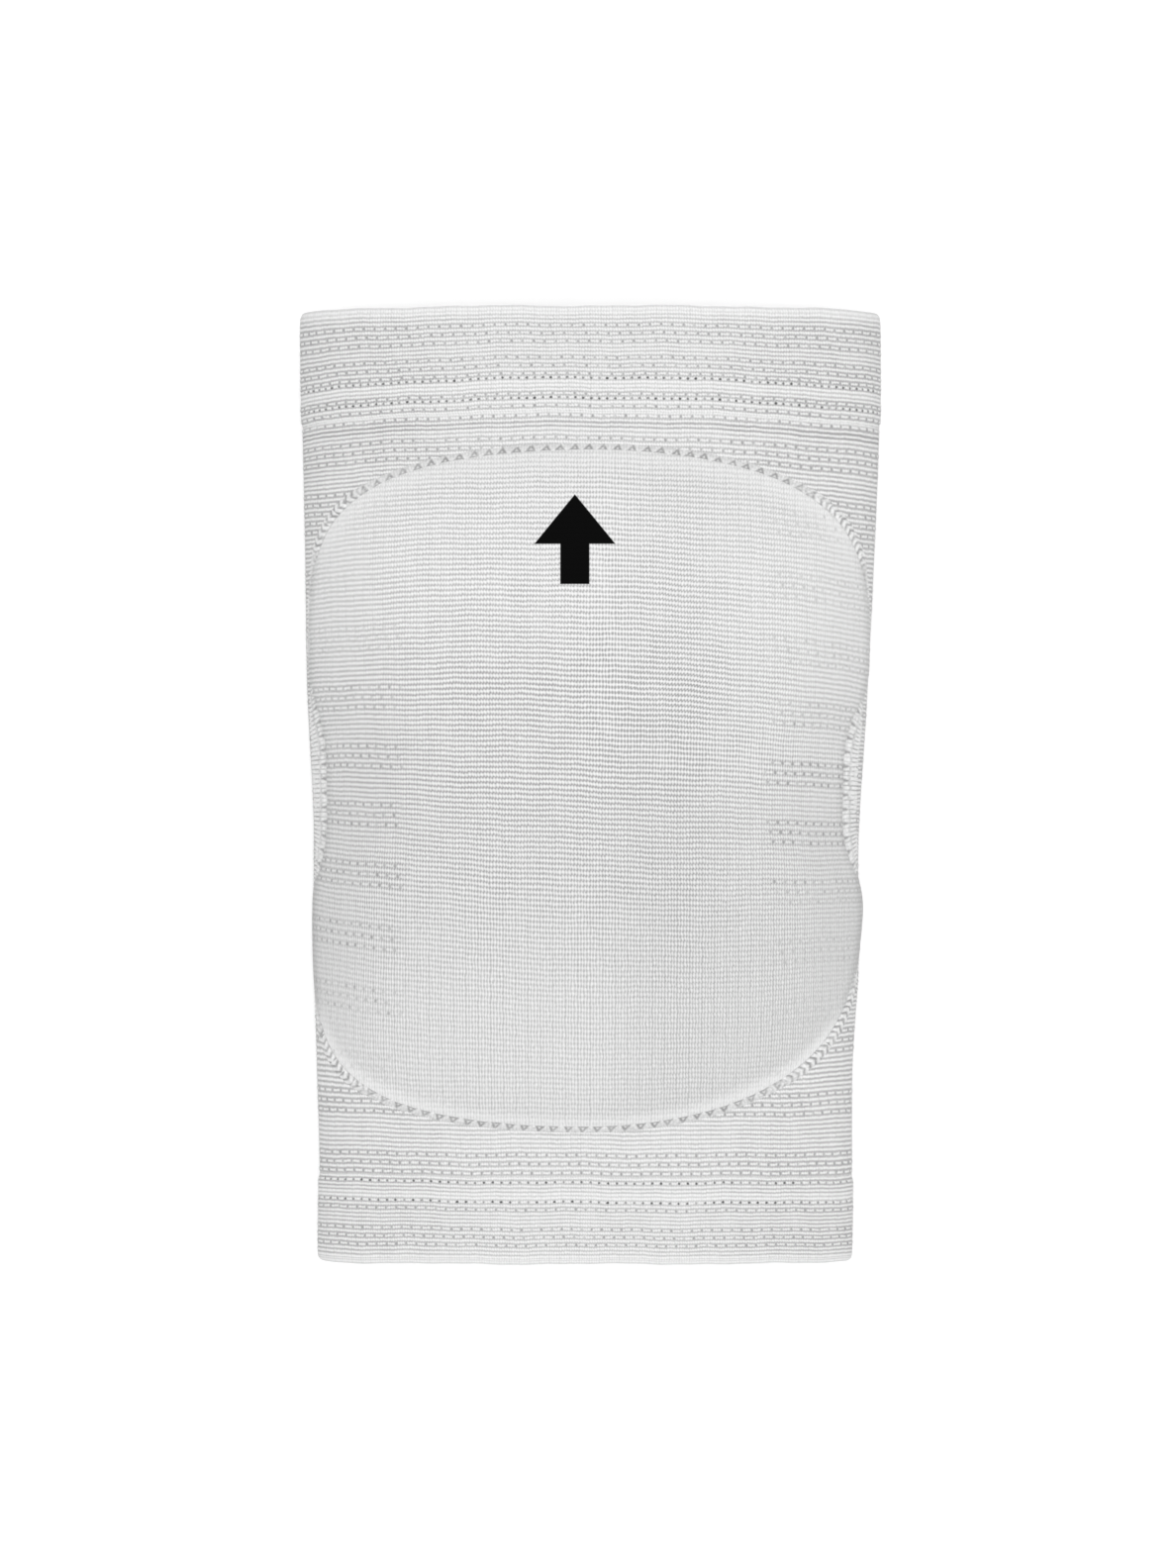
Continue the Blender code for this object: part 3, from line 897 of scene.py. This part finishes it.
# Wales are counted along each course from the pad's middle line
steps = np.linalg.norm(np.diff(points, axis=1), axis=2)
around = np.concatenate([np.zeros((panel_rows + 1, 1)), np.cumsum(steps, axis=1)], axis=1)
for k in range(panel_rows + 1):
    around[k] -= np.interp(0.0, x[k, : PANEL_COLUMNS + 1], around[k, : PANEL_COLUMNS + 1])
uv = np.stack([around / PANEL_WALE, np.broadcast_to(course[:, None], x.shape)], axis=2)
traits = {"tuck": tuck, "holes": np.zeros_like(x), "relief": relief, "slant": slant, "sheer_shade": sheer_shade}
shape_grid(mesh, column, row, points, uv, traits)
weld(mesh)
panel = knit_piece(mesh, panel_knit)
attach(panel, "root")
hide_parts("pad_cover")


# Pad seam
# The panel is joined to the tube with a heavier white yarn: small three-cornered stitches across
# the pad's ends, a braid round its corners, and a rough ridge of cross threads beside the knee.
SEAM_SPACING = 0.00020
SEAM_STITCH = 0.0036
SEAM_THREADS = 3
SEAM_ACROSS = 15
SEAM_UNDER = 4
SEAM_SINK = 0.00015
SEAM_BULGE_UNDER = 0.0005

# How far the seam reaches inside and outside the pad's outline, and how proud it stands: across
# the ends first, then beside the knee
SEAM_INSIDE = (0.0010, 0.0008)
SEAM_OUTSIDE = (0.0013, 0.0070)
SEAM_CROWN = (0.00025, 0.00080)
CORNER_WIDER = 0.0007
CORNER_CROWN = 0.5
CROWN_FULLNESS = 0.7

# Where each kind of seam lies: beside the knee along the leg, and otherwise by how nearly the
# outline faces sideways
BESIDE_KNEE = (0.040, 0.050)
FACES_SIDE = (0.94, 0.99)
FACES_CORNER = (0.38, 0.68)
RIDGE_ALONG = ((-0.029, -0.019, 0.026, 0.040), (0.0, 1.0, 1.0, 0.0))
HEADING_STEPS = 6

# The three-cornered stitches, and how unevenly they are set
TRIANGLE_BASE = 0.0023
TRIANGLE_HEIGHT = 0.0017
TRIANGLE_FROM_PAD = 0.00035
TRIANGLE_LEAN = 0.25
THREAD_INSET = 0.00012
THREAD_EDGE = (0.00016, 0.00040)
ROUGHER_AT_CORNERS = 1.6
SET_ALONG = 0.05
SET_ACROSS = 0.00012
SET_TALLER = 0.1
WALE_EDGE = (0.1, 0.5)

# The braid round the corners: turns to a stitch, how pointed its strands are and how far they stray
BRAID_TURNS = 2
BRAID_POINT = 1.1
BRAID_STRAY = 0.36
BRAID_EDGE = (0.16, 0.44)
# Where the painted shade along the braid's inner edge fades out
INNER_EDGE = (0.06, 0.16)

# The ridge beside the knee: a spine of knots with cross threads that fan out from it
THREAD_GAP = (0.22, 0.5)
RIDGE_SPINE = 0.30
SPINE_STRAY = 0.10
SPINE_WIDTH = 0.06
FAN_STARTS = 0.15
FAN_ENDS = (0.62, 0.92)
NOTCH_WIDTH = 0.34
NOTCH_EDGE = (0.48, 0.5)
# Painted shade in the crease beside the pad
CREASE_EDGE = (0.05, 0.16)
# Painted shade where the plain cross threads lie on the panel
ON_PAD_TONE = 0.22
ON_PAD_FROM = 0.7
ON_PAD_EDGE = 0.0004

# How dark the painted shade in the grooves is, from 0 to 1. Of a pair, the second is what uneven yarn
# adds
GROOVE_TONE = 0.06
RING_TONE = (0.88, 0.12)
BARE_TONE = 0.14
WALES_TONE = 0.20
BRAID_TONE = (0.70, 0.45)
INNER_TONE = 0.55
BRAID_BARE = 0.04
BRAID_DARK = 0.85
SPINE_TONE = (0.35, 0.40)
FAN_TONE = (0.40, 0.60)
FAN_FADES = 0.6
SMALL_NOTCH_TONE = (0.25, 0.70)
CREASE_TONE = (0.12, 0.30)
RIDGE_TONE = 0.85
THREAD_TONE = (0.55, 0.30)
THREAD_FADES = 0.5

# How deep a groove is, and the kinds of groove as shares of it
GROOVE = 0.00028
BRAID_DEPTH = 1.3
THREAD_DEPTH = 1.2
NOTCH_DEPTH = 1.6
SPINE_DEPTH = 0.8

SEAM_MOTTLE = 1.1
SEAM_MOTTLE_A_METRE = 1500.0
SEAM_HAIRS_A_METRE = 3000.0
SEAM_BUMP_DEPTH = 0.0002
FRONT_START = LOOP_SAMPLES // 3
FRONT_END = FRONT_START + 2 * LOOP_SAMPLES - 1


def uneven_tone(tone, roll):
    steady, added = tone
    return steady + added * roll


def sleeve_way(y):
    """The sleeve's outline, and the way along it from its front middle."""
    outline = sleeve_outline(y, -SEAM_SINK)
    way = np.concatenate([[0], np.cumsum(np.linalg.norm(np.diff(outline, axis=0), axis=1))])
    return outline, way - way[(FRONT_START + FRONT_END) // 2]


def seam_finish():
    """White seam yarn, with painted shade in the grooves as each point's shade gives."""
    material = bpy.data.materials.new("seam_yarn")
    material.use_nodes = True
    tree = material.node_tree
    shade = wire(tree, "ShaderNodeAttribute", attribute_name="shade").outputs["Fac"]
    place = wire(tree, "ShaderNodeTexCoord").outputs["Object"]
    uneven = calc(tree, "SUBTRACT", noise(tree, place, SEAM_MOTTLE_A_METRE, 3.0, "3D"), 0.5)
    mottled = calc(tree, "MULTIPLY_ADD", uneven, SEAM_MOTTLE, shade)
    colour = blend(tree, mottled, YARN_LIGHT, YARN_SHADE)
    hairs = noise(tree, place, SEAM_HAIRS_A_METRE, 3.0, "3D")
    yarn_shader(tree, colour, hairs, SEAM_BUMP_DEPTH)
    return material


# The way round the pad's outline, which way it faces, and what kind of seam it has there
closed = np.concatenate([OUTLINE, OUTLINE[:1]])
gone = np.concatenate([[0], np.cumsum(np.linalg.norm(np.diff(closed, axis=0), axis=1))])
seam_stitches = round(gone[-1] / SEAM_STITCH)
seam_steps = round(gone[-1] / SEAM_SPACING)
place = np.arange(seam_steps + 1) / seam_steps
rim = np.stack([np.interp(place * gone[-1], gone, closed[:, axis]) for axis in (0, 1)], axis=1)
rim_x, rim_y = rim.T
heading = np.roll(rim[:-1], -HEADING_STEPS, axis=0) - np.roll(rim[:-1], HEADING_STEPS, axis=0)
heading /= np.linalg.norm(heading, axis=1, keepdims=True)
heading = np.concatenate([heading, heading[:1]])
out_x, out_y = heading[:, 1], -heading[:, 0]
beside_knee = 1 - smooth_step(np.abs(rim_y), *BESIDE_KNEE)
at_side = np.maximum(smooth_step(np.abs(out_x), *FACES_SIDE), beside_knee)
at_corner = smooth_step(np.abs(out_x), *FACES_CORNER) * (1 - at_side)
ridge = at_side * np.interp(rim_y, *RIDGE_ALONG)

# Its inner edge lies on the panel and its outer edge on the tube
inside_width = SEAM_INSIDE[0] + (SEAM_INSIDE[1] - SEAM_INSIDE[0]) * at_side
outside_width = SEAM_OUTSIDE[0] + (SEAM_OUTSIDE[1] - SEAM_OUTSIDE[0]) * ridge
outside_width += CORNER_WIDER * at_corner
inner_x, inner_y = rim_x - out_x * inside_width, rim_y - out_y * inside_width
inner = np.stack([inner_x, inner_y, panel_top(inner_x, inner_y) - SEAM_SINK], axis=1)
outer = np.empty_like(inner)
front = slice(FRONT_START, FRONT_END)
for k in range(seam_steps + 1):
    outline, way = sleeve_way(rim_y[k])
    at = np.interp(rim_x[k], outline[front, 0], way[front]) + out_x[k] * outside_width[k]
    outer_y = rim_y[k] + out_y[k] * outside_width[k]
    outline, way = sleeve_way(outer_y)
    outer[k] = np.interp(at, way, outline[:, 0]), outer_y, np.interp(at, way, outline[:, 1])
chord = outer - inner
up = np.cross(chord, np.gradient(inner, axis=0))
up /= np.linalg.norm(up, axis=1, keepdims=True)

# Places across the seam, over it from the pad outwards and back under it. The yarn is uneven, so
# every stitch and every thread has rolls of its own
across = np.concatenate([np.linspace(0, 1, SEAM_ACROSS), np.linspace(1, 0, SEAM_UNDER + 2)[1:]])
is_over = np.arange(len(across)) < SEAM_ACROSS
over = across[None, :]
side, corner, ridged = at_side[:, None], at_corner[:, None], ridge[:, None]
inside = inside_width[:, None]
width = inside + outside_width[:, None]
dice = np.random.default_rng(11)
stitch = place * seam_stitches
thread = stitch * SEAM_THREADS
stitch_number = np.floor(stitch).astype(int) % seam_stitches
thread_number = np.floor(thread).astype(int) % (seam_stitches * SEAM_THREADS)
stitch_dice = dice.uniform(-1, 1, (4, seam_stitches))
thread_dice = dice.uniform(0, 1, (3, seam_stitches * SEAM_THREADS))
set_along, set_across, taller, stray = stitch_dice[:, stitch_number, None]
reach_out, reach_in, groove_shade_roll = thread_dice[:, thread_number, None]
stitch, thread = stitch[:, None], thread[:, None]

# Three-cornered stitches across the pad's ends, with painted shade in the grooves round and between them
rough = 1 + ROUGHER_AT_CORNERS * corner
sideways = (stitch % 1 - 0.5 + SET_ALONG * rough * set_along) * SEAM_STITCH
from_flat = over * width - TRIANGLE_FROM_PAD - SET_ACROSS * rough * set_across
half_base, tall = TRIANGLE_BASE / 2, TRIANGLE_HEIGHT * (1 + SET_TALLER * rough * taller)
leaned = np.abs(sideways + TRIANGLE_LEAN * from_flat)
beyond_slopes = (leaned * tall + from_flat * half_base - half_base * tall) / np.hypot(half_base, tall)
edge = np.maximum(-from_flat, beyond_slopes)
ring = 1 - smooth_step(np.abs(edge + THREAD_INSET), *THREAD_EDGE)
ring = ring * uneven_tone(RING_TONE, stray)
wales = smooth_step(np.abs(stitch * SEAM_STITCH / PANEL_WALE % 1 - 0.5), *WALE_EDGE)
stitch_shade = np.maximum(ring, BARE_TONE + WALES_TONE * wales)

# A braid round its corners, with painted shade in its grooves and along its inner edge
turned = stitch * BRAID_TURNS + BRAID_POINT * np.abs(over - 0.5) + BRAID_STRAY * stray
braid = smooth_step(np.abs(turned % 1 - 0.5), *BRAID_EDGE) * uneven_tone(BRAID_TONE, groove_shade_roll)
braid = np.maximum(braid, INNER_TONE * (1 - smooth_step(over, *INNER_EDGE)))
braid_shade = BRAID_BARE + BRAID_DARK * braid

# A ridge beside the knee, and plain cross threads where the sides have none, all with painted shade
on_spine = over < RIDGE_SPINE
between_threads = smooth_step(np.abs(thread % 1 - 0.5), *THREAD_GAP)
from_spine = (over - RIDGE_SPINE - SPINE_STRAY * (reach_in - 0.5)) / SPINE_WIDTH
spine = np.exp(-(from_spine**2)) * uneven_tone(SPINE_TONE, groove_shade_roll)
fan = between_threads * uneven_tone(FAN_TONE, reach_in)
fan = fan * smooth_step(over, RIDGE_SPINE, RIDGE_SPINE + FAN_STARTS)
fan_ends = FAN_ENDS[0] + (FAN_ENDS[1] - FAN_ENDS[0]) * reach_out
fan *= 1 - FAN_FADES * smooth_step(over, fan_ends, 1.0)
notch_width = NOTCH_WIDTH * np.clip(1 - over / RIDGE_SPINE, 0, 1)
notch = smooth_step(np.abs(stitch % 1 - 0.5), NOTCH_EDGE[0] - notch_width, NOTCH_EDGE[1]) * on_spine
small_notch = uneven_tone(SMALL_NOTCH_TONE, groove_shade_roll) * between_threads * on_spine
crease_shade = (1 - smooth_step(over, *CREASE_EDGE)) * uneven_tone(CREASE_TONE, groove_shade_roll)
ridge_shade = np.maximum(RIDGE_TONE * np.maximum(fan, spine), np.maximum(notch, small_notch))
ridge_shade = np.maximum(ridge_shade, crease_shade)
thread_shade = THREAD_TONE[0] * between_threads + THREAD_TONE[1] * groove_shade_roll
thread_shade = thread_shade * (1 - THREAD_FADES * over)
on_pad = 1 - smooth_step(over * width, inside * ON_PAD_FROM, inside + ON_PAD_EDGE)
thread_shade = thread_shade + ON_PAD_TONE * on_pad

end_shade = (1 - corner) * stitch_shade + corner * braid_shade
side_shade = ridged * ridge_shade + (1 - ridged) * thread_shade
shade = (1 - side) * end_shade + side * side_shade + GROOVE_TONE

# It stands proud between its edges, less in the grooves
crown = SEAM_CROWN[0] + (SEAM_CROWN[1] - SEAM_CROWN[0]) * (ridged + CORNER_CROWN * corner)
arched = np.sin(np.pi * over).clip(0)
ridge_sunk = THREAD_DEPTH * between_threads * (over > RIDGE_SPINE)
ridge_sunk = ridge_sunk + NOTCH_DEPTH * notch + SPINE_DEPTH * spine
sunk = (1 - side) * ((1 - corner) * ring + BRAID_DEPTH * corner * braid) + side * ridge_sunk
lift = crown * arched**CROWN_FULLNESS - GROOVE * arched * sunk
lift = np.where(is_over, lift, -SEAM_BULGE_UNDER * np.sin(np.pi * over))
points = inner[:, None, :] + across[None, :, None] * chord[:, None, :] + lift[:, :, None] * up[:, None, :]
points[-1] = points[0]
mesh, column, row = grid_mesh("pad_seam", len(across) - 1, seam_steps)
uv = np.stack(np.broadcast_arrays(over, stitch), axis=2)
shape_grid(mesh, column, row, points, uv, {"shade": shade})
weld(mesh)
seam = knit_piece(mesh, seam_finish())
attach(seam, "root")


# Floor, light and camera
# A plain white sweep with broad soft light from above, and the camera straight over the pad. The
# scale is the photo's at the height of the sleeve's folds, and the pad's middle lies where it does.
PHOTO_WIDTH, PHOTO_HEIGHT = 1188, 1584
PIXELS_A_METRE = 3989.0
PAD_CENTRE_PX = (596.2, 794.2)
CAMERA_HEIGHT = 1.30
SENSOR = 36.0
FLOOR_HALF_WIDTH = 4.0
FLOOR_WHITE = (0.96, 0.96, 0.96, 1.0)
STUDIO_WHITE = (1.0, 1.0, 1.0, 1.0)
STUDIO_STRENGTH = 0.80
SOFTBOX_PLACE = (0.07, -0.02, 1.9)
SOFTBOX_SIZE = 1.8
SOFTBOX_WATTS = 33.0

bm = bmesh.new()
bmesh.ops.create_grid(bm, x_segments=1, y_segments=1, size=FLOOR_HALF_WIDTH)
floor_mesh = bpy.data.meshes.new("floor")
bm.to_mesh(floor_mesh)
bm.free()
floor_white = bpy.data.materials.new("floor_white")
floor_white.use_nodes = True
floor_shader = floor_white.node_tree.nodes["Principled BSDF"]
floor_shader.inputs["Base Color"].default_value = FLOOR_WHITE
floor_shader.inputs["Roughness"].default_value = 1.0
floor_shader.inputs["Specular IOR Level"].default_value = 0.0
floor = knit_piece(floor_mesh, floor_white)

world = bpy.data.worlds.new("studio")
bpy.context.scene.world = world
world.use_nodes = True
world.node_tree.nodes["Background"].inputs["Color"].default_value = STUDIO_WHITE
world.node_tree.nodes["Background"].inputs["Strength"].default_value = STUDIO_STRENGTH

light = bpy.data.lights.new("overhead_softbox", "AREA")
light.shape = "SQUARE"
light.size = SOFTBOX_SIZE
light.energy = SOFTBOX_WATTS
softbox = bpy.data.objects.new("overhead_softbox", light)
bpy.context.scene.collection.objects.link(softbox)
softbox.location = SOFTBOX_PLACE
side_x, side_y, height = SOFTBOX_PLACE
lean = math.atan2(math.hypot(side_x, side_y), height)
softbox.rotation_euler = (lean, 0.0, math.atan2(-side_y, -side_x) - math.pi / 2)

lens = PIXELS_A_METRE / PHOTO_HEIGHT * (CAMERA_HEIGHT - FOLD_HEIGHT) * SENSOR
camera_data = bpy.data.cameras.new("camera")
camera_data.sensor_width = SENSOR
camera_data.lens = lens
camera = bpy.data.objects.new("camera", camera_data)
bpy.context.scene.collection.objects.link(camera)
camera.location = (
    (PHOTO_WIDTH / 2 - PAD_CENTRE_PX[0]) / PIXELS_A_METRE,
    (PAD_CENTRE_PX[1] - PHOTO_HEIGHT / 2) / PIXELS_A_METRE,
    CAMERA_HEIGHT,
)
bpy.context.scene.camera = camera
bpy.context.scene.view_settings.view_transform = "Standard"
